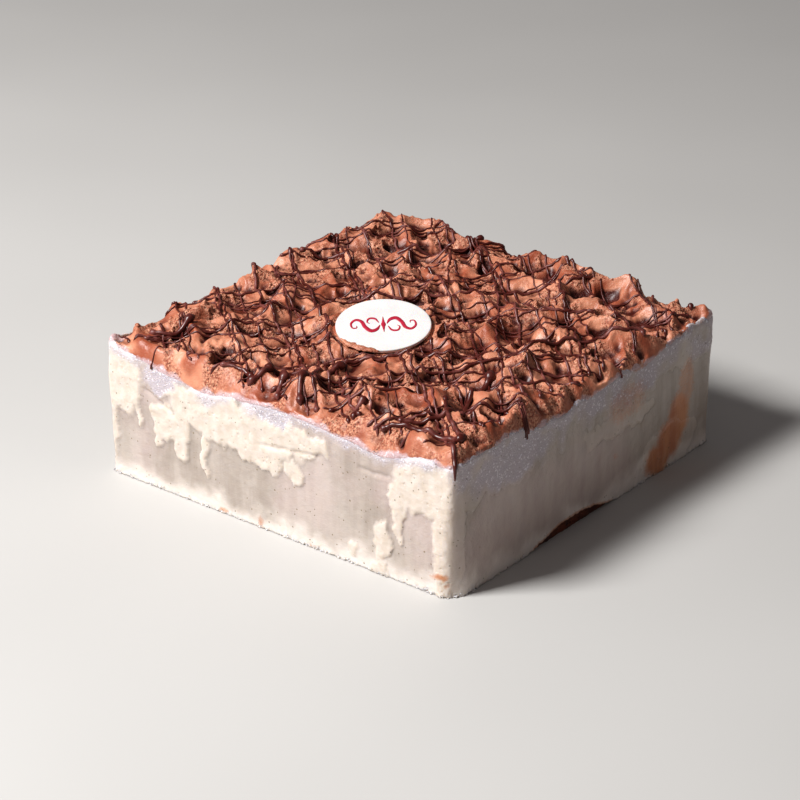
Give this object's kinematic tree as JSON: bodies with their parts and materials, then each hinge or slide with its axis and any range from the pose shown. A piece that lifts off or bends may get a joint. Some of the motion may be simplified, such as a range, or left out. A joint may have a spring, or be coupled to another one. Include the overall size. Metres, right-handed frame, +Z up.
{
  "type": "ice cream cake",
  "caption": "Square ice cream cake: pale walls on a thin sponge, a heaped and scooped chocolate top laced with dark drizzle, and a plain oval plaque leaning on the heap.",
  "frame": {"origin": "middle of the cake's flat underside, which rests on the table", "axes": "+Z up; -Y is the face to the viewer's left in the picture, the lit one, and +X the face to the viewer's right"},
  "size_m": [0.2, 0.2, 0.0799],
  "materials": {
    "sponge": "matt crumb",
    "vanilla": "smooth frozen cream with frost",
    "chocolate": "scooped frozen cream with glossy dark drizzle",
    "plaque": "smooth"
  },
  "bodies": {
    "root": {"sponge_base": "sponge", "vanilla_ice_cream": "vanilla", "chocolate_ice_cream": "chocolate", "oval_plaque": "plaque"}
  },
  "joints": []
}
